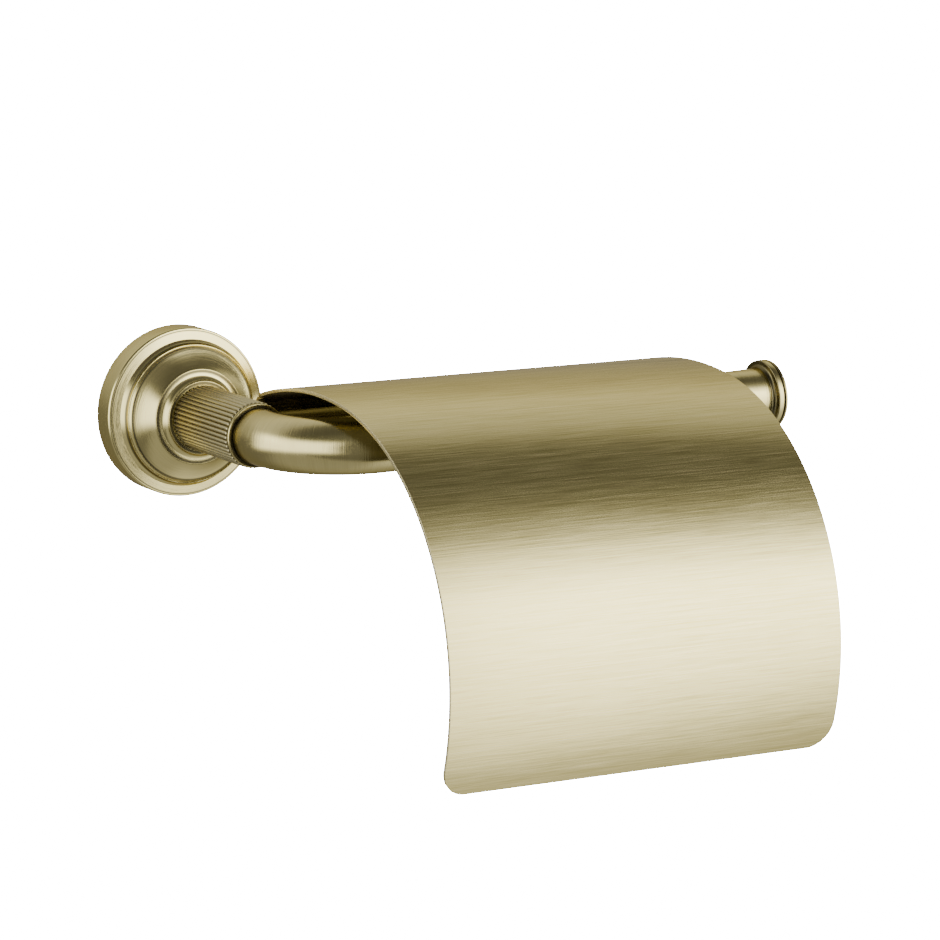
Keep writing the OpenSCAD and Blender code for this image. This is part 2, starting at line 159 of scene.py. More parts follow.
def turnOnLathe(name, axisName, profile, steps=160):  # profile holds (radius, height) in mm
    axis = axes[axisName]
    places = [axis["place"](r, h) for r, h in profile]
    piece = startPoint(name, places[0])
    for here, there in zip(places, places[1:]):
        drawOn(there - here)
    bpy.ops.mesh.select_all(action="SELECT")
    sweep(steps, 2 * math.pi, axis["middle"], axis["line"])
    closeUp()
    leaveEditMode()
    piece.rotation_euler = (0, math.radians(axis["tilt"]), 0)
    settle(piece)
    smooth(piece)
    return piece


# the rosette's radii, and its heights over the wall
rosetteSizes = {
    "rimRadius": 27.49, "rimHeight": 8.7, "rimRound": 0.7, "stepRadius": 23.8, "stepFoot": 9.6, "stepHeight": 12.2,
    "coveRadius": 21.55, "coveFoot": 13.1, "coveHeight": 18, "seatRadius": 15.55,
    "collarFoot": layout["collarFoot"], "cavityRadius": 24, "cavityHeight": 6.2, "pocketRadius": 10, "washerSeat": 12,
    "boltHole": layout["boltHole"], "faceSag": 0.2, "coveSag": 0.35,
}


def makeRosette(v):
    rim, rimTop, step, stepFoot = v["rimRadius"], v["rimHeight"], v["stepRadius"], v["stepFoot"]
    bead, beadFoot, cove, coveFoot = v["coveRadius"] + 1, v["stepHeight"], v["coveRadius"], v["coveFoot"]
    face = [(v["cavityRadius"], 0.15), (v["cavityRadius"] + 0.15, 0), (rim - 0.2, 0), (rim, 0.2)]
    face += arc((rim - v["rimRound"], rimTop - v["rimRound"]), v["rimRound"], 0, 90, 6)
    face += [(step + 0.25, stepFoot - 0.03), (step, stepFoot), (step - 0.12, stepFoot + 0.2),
             (step - 0.3, stepFoot + 0.4)]
    face += hollow((step - 0.34, stepFoot + 0.45), (bead, beadFoot), v["faceSag"], 8)
    face += [(bead, beadFoot + 0.2), (bead - 0.12, beadFoot + 0.33), (bead - 0.3, beadFoot + 0.35),
             (bead - 0.42, beadFoot + 0.25), (bead - 0.5, beadFoot + 0.3), (cove + 0.25, coveFoot - 0.1),
             (cove + 0.1, coveFoot + 0.1), (cove, coveFoot + 0.02)]
    face += hollow((cove - 0.1, coveFoot), (v["seatRadius"], v["coveHeight"]), v["coveSag"], 20)
    face += [(v["seatRadius"], v["coveHeight"] - 0.05), (v["seatRadius"], v["collarFoot"]),
             (v["boltHole"], v["collarFoot"]), (v["boltHole"], v["washerSeat"]), (v["pocketRadius"], v["washerSeat"]),
             (v["pocketRadius"], v["cavityHeight"]), (v["cavityRadius"], v["cavityHeight"]), face[0]]
    piece = turnOnLathe("turnedRosette", "neck", face, steps=192)
    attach(piece, "holder")
    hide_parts("rosette")
    return piece


rosette = makeRosette(rosetteSizes)
print("rosette turned")


# the small turned rings on the neck's axis, with their heights over the wall
collarSizes = {"radius": 15.5, "topRadius": 11.9, "shoulder": 1.6, "foot": layout["collarFoot"], "face": 18.2,
               "neckFoot": layout["neckFoot"], "boltHole": layout["boltHole"], "faceSag": 0.3}


def makeCollar(v):
    shoulder = v["topRadius"] + v["shoulder"]
    face = [(v["boltHole"], v["foot"]), (v["radius"], v["foot"])]
    face += arc((v["radius"] - 0.25, v["face"] - 0.25), 0.25, 0, 90, 4)
    face += hollow((shoulder, v["face"]), (v["topRadius"], v["neckFoot"] - 0.15), v["faceSag"], 8)
    face += arc((v["topRadius"] - 0.15, v["neckFoot"] - 0.15), 0.15, 10, 90, 3)
    face += [(v["boltHole"], v["neckFoot"]), face[0]]
    piece = turnOnLathe("turnedCollar", "neck", face)
    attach(piece, "holder")
    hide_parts("base_collar")
    return piece


lipSizes = {"radius": 10.2, "foot": layout["lipFoot"], "end": layout["gapFoot"], "edge": 0.4,
            "boltHole": layout["boltHole"]}


def makeLip(v):
    face = [(v["boltHole"], v["foot"]), (v["radius"] - 0.2, v["foot"]), (v["radius"], v["foot"] + 0.2)]
    face += arc((v["radius"] - v["edge"], v["end"] - v["edge"]), v["edge"], 0, 90, 6)
    face += [(v["boltHole"], v["end"]), face[0]]
    piece = turnOnLathe("lipRing", "neck", face)
    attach(piece, "holder")
    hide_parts("lip_ring")
    return piece


spacerSizes = {"radius": 8.3, "foot": layout["gapFoot"], "end": layout["tubeFoot"], "waist": 0.12,
               "boltHole": layout["boltHole"]}


def makeSpacer(v):
    middle = (v["foot"] + v["end"]) / 2
    face = [(v["boltHole"], v["foot"]), (v["radius"], v["foot"]), (v["radius"] - v["waist"], middle),
            (v["radius"], v["end"]), (v["boltHole"], v["end"])]
    piece = turnOnLathe("gapSpacer", "neck", face + [face[0]], steps=96)
    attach(piece, "holder")
    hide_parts("gap_spacer")
    return piece


collar = makeCollar(collarSizes)
lip = makeLip(lipSizes)
spacer = makeSpacer(spacerSizes)
print("collar, lip and spacer turned")


# the reeded neck: a section is a reed's height over the flute's floor, going round one reed,
# and an end is how that height grows with the distance from either end
neckSizes = {
    "radius": 10.55, "foot": layout["neckFoot"], "end": layout["lipFoot"], "reeds": 44, "depth": 0.7,
    "boltHole": layout["boltHole"], "section": [1, 0.98, 0.86, 0.35, 0, 0.35, 0.86, 0.98],
    "endRise": [(0, 0), (0.08, 0.42), (0.22, 0.72), (0.38, 0.92), (0.6, 1)],
}


def makeNeck(v):
    section, sides = v["section"], len(v["section"])
    ringSize = v["reeds"] * sides
    floor = v["radius"] - v["depth"]
    deselectAll()
    bpy.ops.mesh.primitive_circle_add(vertices=ringSize, radius=floor * mm, fill_type="NOTHING",
                                      location=(0, -v["foot"] * mm, 0), rotation=(math.pi / 2, 0, 0))
    piece = bpy.context.object
    piece.name = piece.data.name = "reededNeck"
    settle(piece)
    bpy.ops.object.mode_set(mode="EDIT")
    length = v["end"] - v["foot"]
    rings = v["endRise"] + [(length - out, up) for out, up in reversed(v["endRise"])]
    for count, (along, up) in enumerate(rings):
        if count:
            selectLast(piece, ringSize)
            bpy.ops.mesh.select_mode(type="EDGE")
            drawOn((0, -(along - rings[count - 1][0]) * mm, 0))
        before = rings[count - 1][1] if count else 0
        for rise in sorted(set(section) - {0}):
            was, now = floor + v["depth"] * rise * before, floor + v["depth"] * rise * up
            if abs(now - was) < 1e-6:
                continue
            side = lambda place: round(math.atan2(place.z, place.x) / (2 * math.pi) * ringSize) % sides
            selectLast(piece, ringSize, lambda place: section[side(place)] == rise)
            bpy.ops.transform.resize(value=(now / was, 1, now / was),
                                     center_override=(0, -(v["foot"] + along) * mm, 0))
    leaveEditMode()
    for height in (v["foot"], v["end"]):  # flat ends down to the bolt's hole
        workOn(piece)
        bpy.ops.object.mode_set(mode="EDIT")
        selectWhere(piece, "VERT", lambda place, normal: abs(place.y + height) < 0.001)
        bpy.ops.mesh.select_mode(type="EDGE")
        bpy.ops.mesh.extrude_region_move(TRANSFORM_OT_translate={"value": (0, 0, 0)})
        bpy.ops.transform.resize(value=(v["boltHole"] / floor, 1, v["boltHole"] / floor),
                                 center_override=(0, -height * mm, 0))
        leaveEditMode()
    workOn(piece)
    bpy.ops.object.mode_set(mode="EDIT")
    selectWhere(piece, "VERT", lambda place, normal: math.hypot(place.x, place.z) < v["boltHole"] + 0.01)
    bpy.ops.mesh.select_mode(type="EDGE")
    bpy.ops.mesh.bridge_edge_loops()
    closeUp()
    leaveEditMode()
    smooth(piece, 40)
    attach(piece, "holder")
    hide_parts("reeded_neck")
    return piece


neck = makeNeck(neckSizes)
print("neck reeded")


# the arm is one tube: a short stub, a quarter bend and the bar, which rises towards its free end
armSizes = {"radius": layout["tubeRadius"], "wall": 1.5, "foot": layout["tubeFoot"], "stub": 4.6, "bend": 29,
            "bar": 135, "tilt": -layout["barRise"], "rim": 0.18}


def makeArm(v):
    deselectAll()
    bpy.ops.mesh.primitive_circle_add(vertices=112, radius=v["radius"] * mm, fill_type="NOTHING",
                                      location=(0, -v["foot"] * mm, 0), rotation=(math.pi / 2, 0, 0))
    piece = bpy.context.object
    piece.name = piece.data.name = "armTube"
    settle(piece)
    bpy.ops.object.mode_set(mode="EDIT")
    bpy.ops.mesh.select_mode(type="EDGE")
    bpy.ops.mesh.select_all(action="SELECT")
    drawOn((0, -v["stub"] * mm, 0))
    bendFoot = v["foot"] + v["stub"]
    sweep(40, math.pi / 2, (v["bend"] * mm, -bendFoot * mm, 0), (0, 0, 1))
    for part in range(12):
        drawOn((v["bar"] / 12 * mm, 0, 0))
    closeUp()
    leaveEditMode()
    addModifier(piece, "SOLIDIFY", {"thickness": v["wall"] * mm, "offset": -1})
    addModifier(piece, "BEVEL", {"width": v["rim"] * mm, "segments": 3, "limit_method": "ANGLE",
                                 "angle_limit": math.radians(60)})
    piece.rotation_euler = (0, math.radians(v["tilt"]), 0)
    settle(piece)
    smooth(piece)
    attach(piece, "holder")
    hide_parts("arm_tube")
    return piece


arm = makeArm(armSizes)
print("arm bent")


# the disc and the button at the bar's free end, with their heights along the bar
discSizes = {"tube": layout["tubeRadius"], "foot": 164, "radius": 11.3, "cove": 1.2, "thick": 2, "edge": 0.35,
             "stemHole": 3.1}


def makeEndDisc(v):
    face0, face1 = v["foot"] + v["cove"], v["foot"] + v["cove"] + v["thick"]
    face = [(v["stemHole"], v["foot"]), (v["tube"], v["foot"])]
    face += arc((v["tube"] + v["cove"], v["foot"]), v["cove"], 178, 92, 8)
    face += arc((v["radius"] - v["edge"], face0 + v["edge"]), v["edge"], -90, 0, 5)
    face += arc((v["radius"] - v["edge"], face1 - v["edge"]), v["edge"], 0, 90, 5)
    face += [(v["stemHole"], face1), face[0]]
    piece = turnOnLathe("endDisc", "bar", face, steps=128)
    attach(piece, "holder")
    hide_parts("end_disc")
    return piece


buttonSizes = {"stem": 3, "stemFoot": 155, "discEnd": 167.2, "face": 167.7, "radius": 11.2, "groove": 0.8,
               "thick": 1, "edge": 0.35, "dome": 0.3}


def makeButton(v):
    back = v["face"] + v["thick"]
    face = [(0, v["stemFoot"]), (v["stem"] - 0.5, v["stemFoot"]), (v["stem"], v["stemFoot"] + 0.5),
            (v["stem"], v["discEnd"]), (v["radius"] - v["groove"], v["discEnd"]),
            (v["radius"] - v["groove"], v["face"])]
    face += arc((v["radius"] - v["edge"], v["face"] + v["edge"]), v["edge"], -90, 0, 5)
    face += arc((v["radius"] - v["edge"], back - v["edge"]), v["edge"], 0, 84, 5)
    face += [(r, back + v["dome"] * (1 - (r / v["radius"]) ** 2)) for r in (9.4, 7, 4.5, 2.2, 0)]
    piece = turnOnLathe("endButton", "bar", face, steps=128)
    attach(piece, "holder")
    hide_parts("end_button")
    return piece


endDisc = makeEndDisc(discSizes)
button = makeButton(buttonSizes)
print("bar end turned")


# the collar and the domed nut on the hinge's rod, with their heights along X
hingeCollarSizes = {"rod": layout["rodRadius"], "radius": layout["rodCollar"], "start": 10.65, "length": 2,
                    "edge": 0.2}


def makeHingeCollar(v):
    start, end = v["start"], v["start"] + v["length"]
    face = [(v["rod"], start)] + arc((v["radius"] - v["edge"], start + v["edge"]), v["edge"], -90, 0, 4)
    face += arc((v["radius"] - v["edge"], end - v["edge"]), v["edge"], 0, 90, 4)
    face += [(v["rod"], end), (v["rod"], start)]
    piece = turnOnLathe("hingeCollar", "hinge", face, steps=72)
    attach(piece, "holder")
    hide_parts("hinge_collar")
    return piece


capNutSizes = {"rod": layout["rodRadius"], "radius": layout["rodCollar"], "start": 140.45, "length": 6, "edge": 0.2,
               "dome": 2, "boreLeft": 1.6}


def makeCapNut(v):
    start, end = v["start"], v["start"] + v["length"]
    face = [(v["rod"], start)] + arc((v["radius"] - v["edge"], start + v["edge"]), v["edge"], -90, 0, 4)
    face += arc((0, end - v["dome"]), (v["radius"], v["dome"]), 0, 90, 10)
    face += [(0, end - v["boreLeft"]), (v["rod"], end - v["boreLeft"]), (v["rod"], start)]
    piece = turnOnLathe("capNut", "hinge", face, steps=72)
    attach(piece, "holder")
    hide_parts("cap_nut")
    return piece


hingeCollar = makeHingeCollar(hingeCollarSizes)
capNut = makeCapNut(capNutSizes)
print("hinge pieces turned")


# the cover: three arcs, a rolled knuckle, rounded lower corners and a notch round the neck
coverSizes = {
    "from": 8.45, "to": 148.45, "thick": 1.2, "frontRadius": 80, "topRadius": 120, "rearRadius": 7,
    "frontStart": 81.3, "frontEnd": 22.2, "setBack": 13, "gap": 0.4, "tubeRadius": layout["tubeRadius"],
    "armOut": layout["barOut"], "rise": layout["barRise"], "hingeY": -layout["hingeOut"],
    "knuckle": 3.52, "curlOpen": 100, "knuckleFrom": 14.15, "knuckleTo": 139.45,
    "corner": 8.5, "notchX": 11.05, "notchY": -43.5, "notchRound": 2.6, "reliefZ": 4.62, "arris": 0.28,
    # along Y, where the front ends and the rear and the sides begin, and how high the cuts at the rear start
    "frontTo": -120, "rearFrom": -60, "sideFrom": -42, "rearAbove": -6,
}


def cutLoop(piece, middle, normal, inZone):
    if selectWhere(piece, "FACE", inZone):
        bpy.ops.mesh.bisect(plane_co=Vector(middle) * mm, plane_no=normal)


def trimCorner(piece, middle, radius, normals, inZone):  # rounds a corner with cuts that touch its circle
    middle = Vector(middle)
    ways = [Vector(normal) for normal in normals]
    for way in ways:
        cutLoop(piece, middle + radius * way, way, inZone)
    isOut = lambda place, normal: inZone(place, normal) and any((place - middle).dot(way) > radius for way in ways)
    if selectWhere(piece, "FACE", isOut):
        bpy.ops.mesh.delete(type="FACE")


def makeCover(v):
    sideZ = v["to"] * math.tan(math.radians(v["rise"]))
    over = v["topRadius"] - v["thick"] - v["tubeRadius"] - v["gap"]
    top = Vector((0, v["setBack"] - v["armOut"], sideZ - math.sqrt(over ** 2 - v["setBack"] ** 2)))
    start = math.radians(v["frontStart"])
    front = top + (v["topRadius"] - v["frontRadius"]) * Vector((0, -math.cos(start), math.sin(start)))
    rearY = v["hingeY"] + v["knuckle"] - v["rearRadius"]
    lean = math.asin((rearY - top.y) / (v["topRadius"] - v["rearRadius"]))
    rear = Vector((0, rearY, top.z + (v["topRadius"] - v["rearRadius"]) * math.cos(lean)))
    end = math.radians(v["frontEnd"])
    foot = Vector((v["from"], front.y - v["frontRadius"] * math.cos(end), front.z - v["frontRadius"] * math.sin(end)))

    piece = startPoint("coverSheet", foot * mm)
    drawOn(((v["to"] - v["from"]) * mm, 0, 0))
    bpy.ops.mesh.select_mode(type="EDGE")
    bpy.ops.mesh.select_all(action="SELECT")
    turns = [(front, start + end, 80), (top, math.pi / 2 - start + lean, 36), (rear, math.pi / 2 - lean, 20)]
    for middle, angle, steps in turns:
        sweep(steps, -angle, middle * mm, (1, 0, 0))
    drawOn((0, 0, -rear.z * mm))
    sweep(52, -math.radians(360 - v["curlOpen"]), (0, v["hingeY"] * mm, 0), (1, 0, 0))
    bpy.ops.mesh.select_all(action="SELECT")
    bpy.ops.mesh.remove_doubles(threshold=2e-6)

    # the two lower corners
    fan = [math.radians(90 * k / 10) for k in range(1, 10)]
    low = foot.z + v["corner"]
    isLow = lambda place, normal: place.z < low + 4 and place.y < v["frontTo"]
    for x, way in ((v["from"] + v["corner"], -1), (v["to"] - v["corner"], 1)):
        trimCorner(piece, (x, 0, low), v["corner"], [(way * math.cos(t), 0, -math.sin(t)) for t in fan], isLow)

    # room for the hinge's collar and nut beside the knuckle, then the notch round the neck
    atRear = lambda place, normal: place.y > v["rearFrom"] and place.z > v["rearAbove"]
    for x in (v["notchX"], v["knuckleFrom"], v["knuckleTo"]):
        cutLoop(piece, (x, 0, 0), (1, 0, 0), atRear)
    atSide = lambda place, normal: place.y > v["sideFrom"] and not v["knuckleFrom"] < place.x < v["knuckleTo"]
    cutLoop(piece, (0, 0, v["reliefZ"]), (0, 0, 1), atSide)
    selectWhere(piece, "FACE", lambda place, normal: atSide(place, normal) and place.z < v["reliefZ"])
    bpy.ops.mesh.delete(type="FACE")
    atNeck = lambda place, normal: place.x < v["notchX"] and place.y > v["rearFrom"]
    fan = [math.radians(90 * k / 8) for k in range(1, 9)]
    trimCorner(piece, (v["notchX"], v["notchY"], 0), v["notchRound"],
               [(-math.cos(t), math.sin(t), 0) for t in fan], atNeck)
    bpy.ops.mesh.select_all(action="SELECT")
    bpy.ops.mesh.remove_doubles(threshold=2e-6)
    leaveEditMode()

    workOn(piece)
    bpy.ops.object.mode_set(mode="EDIT")
    bpy.ops.mesh.select_all(action="SELECT")
    bpy.ops.mesh.normals_make_consistent(inside=False)
    leaveEditMode()
    highest = max(piece.data.polygons, key=lambda face: face.center.z)
    if highest.normal.z < 0:
        bpy.ops.object.mode_set(mode="EDIT")
        bpy.ops.mesh.select_all(action="SELECT")
        bpy.ops.mesh.flip_normals()
        leaveEditMode()
    for surface in ("outer", "inner", "edge"):  # one empty slot each, for the finishes
        piece.data.materials.append(None)
    addModifier(piece, "SOLIDIFY", {"thickness": v["thick"] * mm, "offset": -1, "use_even_offset": True,
                                    "material_offset": 1, "material_offset_rim": 2})
    addModifier(piece, "BEVEL", {"width": v["arris"] * mm, "segments": 3, "limit_method": "ANGLE",
                                 "angle_limit": math.radians(60)})
    smooth(piece)
    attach(piece, "cover")
    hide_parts("cover_sheet")
    return piece


cover = makeCover(coverSizes)
print("cover bent")


# finishes: procedural materials, whose maths is written as expressions
class Wire:  # one socket's value, on which + - * / and root add Math nodes
    def __init__(self, finish, socket):
        self.finish, self.socket = finish, socket

    def __add__(self, other): return self.finish.maths("ADD", self, other)
    def __radd__(self, other): return self.finish.maths("ADD", other, self)
    def __sub__(self, other): return self.finish.maths("SUBTRACT", self, other)
    def __rsub__(self, other): return self.finish.maths("SUBTRACT", other, self)
    def __mul__(self, other): return self.finish.maths("MULTIPLY", self, other)
    def __rmul__(self, other): return self.finish.maths("MULTIPLY", other, self)
    def __truediv__(self, other): return self.finish.maths("DIVIDE", self, other)
    def __rtruediv__(self, other): return self.finish.maths("DIVIDE", other, self)
    def root(self): return self.finish.maths("SQRT", self)


class Finish:  # the nodes of one material or world
    def __init__(self, owner):
        self.owner = owner
        owner.use_nodes = True
        self.tree = owner.node_tree
        self.tree.nodes.clear()

    def node(self, kind, settings, values, output=0):
        node = self.tree.nodes.new(kind)
        for key, value in settings.items():
            if key == "stops":  # a ramp's places and colours
                ramp = node.color_ramp
                ramp.interpolation = "EASE"
                for count, (spot, colour) in enumerate(value):
                    stop = ramp.elements[count] if count < 2 else ramp.elements.new(spot)
                    stop.position, stop.color = spot, colour
            else:
                setattr(node, key, value)
        for key, value in values.items():
            if isinstance(value, Wire):
                self.tree.links.new(value.socket, node.inputs[key])
            else:
                node.inputs[key].default_value = value
        return Wire(self, node.outputs[output]) if node.outputs else None

    def maths(self, operation, *values):
        return self.node("ShaderNodeMath", {"operation": operation}, dict(enumerate(values)))

    def split(self, vector):
        node = self.node("ShaderNodeSeparateXYZ", {}, {"Vector": vector}).socket.node
        return [Wire(self, node.outputs[k]) for k in range(3)]

    def place(self, turned=0, moved=(0, 0, 0)):  # Object coordinates, moved and then turned about Y
        here = self.node("ShaderNodeTexCoord", {}, {}, "Object")
        if turned or any(moved):
            here = self.node("ShaderNodeVectorMath", {"operation": "SUBTRACT"}, {0: here, 1: moved})
            here = self.node("ShaderNodeVectorRotate", {"rotation_type": "Y_AXIS"},
                             {"Vector": here, "Angle": math.radians(turned)})
        return self.split(here)

    def noise(self, x, y, z, w=None, detail=2.0):
        vector = self.node("ShaderNodeCombineXYZ", {}, {0: x, 1: y, 2: z})
        values = {"Vector": vector, "Scale": 1.0, "Detail": detail, "Roughness": 0.6}
        if w is not None:
            values["W"] = w
        return self.node("ShaderNodeTexNoise", {"noise_dimensions": "3D" if w is None else "4D"}, values)

    def blend(self, factor, first, second):
        return self.node("ShaderNodeMix", {"data_type": "RGBA", "blend_type": "MIX"},
                         {0: factor, 6: first, 7: second}, output=2)

    def finishWith(self, shader, kind="ShaderNodeOutputMaterial"):
        self.node(kind, {}, {"Surface": shader})
        return self.owner


# brushed brass: pale and deep are the colours of the marks, lines their contrast, relief their depth in mm and
# cloud the waves per metre of slow changes; in a crease, painted shade darkens the colour and adds to the roughness
brassSheen = {"pale": (0.78, 0.675, 0.31, 1), "deep": (0.48, 0.41, 0.15, 1), "tint": (0.86, 0.76, 0.5, 1),
              "rough": 0.19, "spread": 0.08, "lines": 0.4, "relief": 0.06, "cloud": 38, "cloudShare": 0.3,
              "shadeColour": (0.07, 0.062, 0.036, 1), "shadeShare": 0.9, "shadeRough": 0.12, "rootShadeShare": 0.8}
# the arm tube and the bar's end use a darker copy of the brass: painted shade for the dimmer light they catch
shadedTubeSheen = {**brassSheen, "pale": (0.67, 0.58, 0.27, 1), "deep": (0.41, 0.35, 0.13, 1)}
coverSheen = {**brassSheen, "rough": 0.24, "spread": 0.14, "lines": 1.25, "relief": 0.025}
# the cover's inside and the gap spacer use a much darker copy of the brass: painted shade, for the shade inside the
# cover and in the gap
shadedInnerSheen = {**coverSheen, "pale": (0.27, 0.24, 0.13, 1), "deep": (0.17, 0.15, 0.07, 1), "rough": 0.34}
# the cover's cut edge uses a paler copy of the brass: a painted highlight along the arris
edgeHighlightSheen = {**coverSheen, "pale": (0.95, 0.85, 0.49, 1), "deep": (0.80, 0.70, 0.36, 1), "rough": 0.3}
# on the neck, the darker, greyer band near its root is painted shade that damps the rosette's reflected glow there
reedSheen = {**brassSheen, "pale": (0.64, 0.575, 0.33, 1), "deep": (0.37, 0.33, 0.17, 1), "rough": 0.33,
             "relief": 0.01, "rootShade": (0.47, 0.44, 0.285, 1), "rootShadeWhere": [("along", -25, 17)]}

# how fine the marks are: waves per metre along and across them, for the fine and the broad ones
grain = {
    "bar": [(60, 3000), (26, 1200)],
    "turned": [(2.2, 3600), (1.1, 1100)],
    "bent": [(90, 3600), (40, 1100)],
}


def alongBar(f, x, y, z):  # straight lines along X
    return [f.noise(x * along, y * across, z * across) for along, across in grain["bar"]]


def alongNeck(f, x, z, y):  # straight lines along Y
    return alongBar(f, y, x, z)


def roundAxis(f, across, up, along):  # turning marks about one axis
    radius = (across * across + up * up).root() + 0.00001
    cosine, sine = across / radius, up / radius
    return [f.noise(radius * fine, cosine * slow, sine * slow, along * fine) for slow, fine in grain["turned"]]


def roundBend(f, x, y, z):  # marks across the tube, which follow its bend
    bend = armSizes["bend"] * mm
    turnX, turnY = x - bend, y + (armSizes["foot"] + armSizes["stub"]) * mm
    angle = f.maths("ARCTAN2", f.maths("MINIMUM", turnX, 0.0), f.maths("MINIMUM", turnY, 0.0))
    past, before = f.maths("MAXIMUM", turnX, 0.0), f.maths("MAXIMUM", turnY, 0.0)
    along = past - before + angle * bend
    return [f.noise(along * fine, z * slow, (x - y) * slow) for slow, fine in grain["bent"]]


def shadeMask(places, shadeLines):  # 1 in a band of painted shade, given as (measure, place, half width) in mm
    across, up, along = places
    measures = {"radius": (across * across + up * up).root(), "up": up, "along": along}
    shadeAmount = 0.0
    for measure, middle, half in shadeLines:
        off = (measures[measure] - middle * mm) / (half * mm)
        square = off * off
        shadeAmount = shadeAmount + 1 / (square * square + 1)
    return shadeAmount


def brushedBrass(name, marks, v=brassSheen, moved=(0, 0, 0), turned=0, order=(0, 1, 2), shadeLines=None):
    f = Finish(bpy.data.materials.new(name))
    place = f.place(turned, moved)
    places = [place[k] for k in order]
    fine, broad = marks(f, *places)
    cloud = f.noise(*[part * v["cloud"] for part in place], detail=3.0)
    tone = 0.5 + (fine * 0.65 + broad * 0.35 - 0.5) * (1.9 * v["lines"]) + (cloud - 0.5) * v["cloudShare"]
    colour = f.blend(tone, v["deep"], v["pale"])
    rough = v["rough"] + (tone - 0.5) * v["spread"]
    # painted shade band along the piece, where the reflected glow falls
    if "rootShade" in v:
        colour = f.blend(shadeMask(places, v["rootShadeWhere"]) * v["rootShadeShare"], colour, v["rootShade"])
    if shadeLines:  # painted shade: dark lines where the turned edges meet, standing in for the shade in those creases
        shadeAmount = shadeMask(places, shadeLines)
        colour = f.blend(shadeAmount * v["shadeShare"], colour, v["shadeColour"])
        rough = rough + shadeAmount * v["shadeRough"]
    bump = f.node("ShaderNodeBump", {}, {"Strength": 1.0, "Distance": v["relief"] * mm,
                                         "Height": fine * 0.6 + broad * 0.4})
    return f.finishWith(f.node("ShaderNodeBsdfPrincipled", {}, {
        "Base Color": colour, "Metallic": 1.0, "Roughness": rough, "Normal": bump, "Specular Tint": v["tint"]}))


# the pieces inside: a fine speckle mixes two colours; waves is per metre, relief in mm,
# and spread is how much the roughness varies
plainFinishes = {
    "turnedSteel": {"pale": (0.60, 0.60, 0.61, 1), "deep": (0.42, 0.42, 0.43, 1), "waves": 1500, "relief": 0.02,
                    "strength": 0.3, "rough": 0.34, "spread": 0.2},
    "oiledSteel": {"pale": (0.30, 0.29, 0.28, 1), "deep": (0.18, 0.175, 0.17, 1), "waves": 1500, "relief": 0.02,
                   "strength": 0.3, "rough": 0.38, "spread": 0.2},
    "mouldedNylon": {"pale": (0.76, 0.75, 0.71, 1), "deep": (0.62, 0.61, 0.57, 1), "waves": 900, "relief": 0.03,
                     "strength": 0.25, "rough": 0.42, "spread": 0.12},
}


def speckled(f, v):  # the speckle, its place and its bump
    place = f.place()
    speckle = f.noise(*[part * v["waves"] for part in place], detail=3.0)
    bump = f.node("ShaderNodeBump", {}, {"Strength": v["strength"], "Distance": v["relief"] * mm, "Height": speckle})
    return place, speckle, bump


def plainMetal(name):
    v = plainFinishes[name]
    f = Finish(bpy.data.materials.new(name))
    place, speckle, bump = speckled(f, v)
    tone = speckle * 0.5 + f.noise(*[part * 60 for part in place]) * 0.5
    return f.finishWith(f.node("ShaderNodeBsdfPrincipled", {}, {
        "Base Color": f.blend(tone, v["deep"], v["pale"]), "Metallic": 1.0,
        "Roughness": v["rough"] + (tone - 0.5) * v["spread"], "Normal": bump}))


def mouldedNylon(name):
    v = plainFinishes[name]
    f = Finish(bpy.data.materials.new(name))
    speckle, bump = speckled(f, v)[1:]
    return f.finishWith(f.node("ShaderNodeBsdfPrincipled", {}, {
        "Base Color": f.blend(speckle, v["deep"], v["pale"]),
        "Roughness": v["rough"] + speckle * v["spread"], "Normal": bump}))


def paint(piece, material):
    if not piece.data.materials:
        piece.data.materials.append(None)
    piece.data.materials[0] = material


# where the painted shade lines lie, in the creases and gaps between parts: the measure, its place and its half width,
# in mm
paintedShadeLines = {
    "rosette": [("radius", 26.55, 0.18), ("radius", 22.75, 0.16), ("radius", 21.2, 0.24), ("radius", 14.7, 0.5),
                ("radius", 11.2, 0.5), ("radius", 9, 0.8)],
    "neck": [("along", -layout["neckFoot"], 0.7), ("along", -layout["lipFoot"], 0.25), ("radius", 9.8, 0.2)],
    "tube": [("up", -layout["tubeFoot"], 0.6)],
    "barEnd": [("along", 164.6, 0.8), ("along", 167.45, 0.4)],
}
onWall, onX = (0, 2, 1), (1, 2, 0)  # which coordinates lie across, up and along an axis square to the wall, or X

coverBrass = brushedBrass("coverBrass", alongBar, coverSheen)
edgeHighlightBrass = brushedBrass("edgeHighlightBrass", alongBar, edgeHighlightSheen)
shadedInnerBrass = brushedBrass("shadedInnerBrass", alongBar, shadedInnerSheen)
turnedBrass = brushedBrass("turnedBrass", roundAxis, order=onWall, shadeLines=paintedShadeLines["rosette"])
# the gap spacer takes the darker inside colour: painted shade in the gap by the lip
shadedBrass = brushedBrass("shadedBrass", roundAxis, shadedInnerSheen, order=onWall)
barBrass = brushedBrass("barBrass", roundAxis, shadedTubeSheen, moved=(0, -layout["barOut"] * mm, 0),
                        turned=layout["barRise"], order=onX, shadeLines=paintedShadeLines["barEnd"])
reedBrass = brushedBrass("reedBrass", alongNeck, reedSheen, order=onWall, shadeLines=paintedShadeLines["neck"])
tubeBrass = brushedBrass("tubeBrass", roundBend, shadedTubeSheen, shadeLines=paintedShadeLines["tube"])
hingeBrass = brushedBrass("hingeBrass", roundAxis, moved=(0, -layout["hingeOut"] * mm, 0), order=onX)
steel = plainMetal("turnedSteel")
darkSteel = plainMetal("oiledSteel")
nylon = mouldedNylon("mouldedNylon")

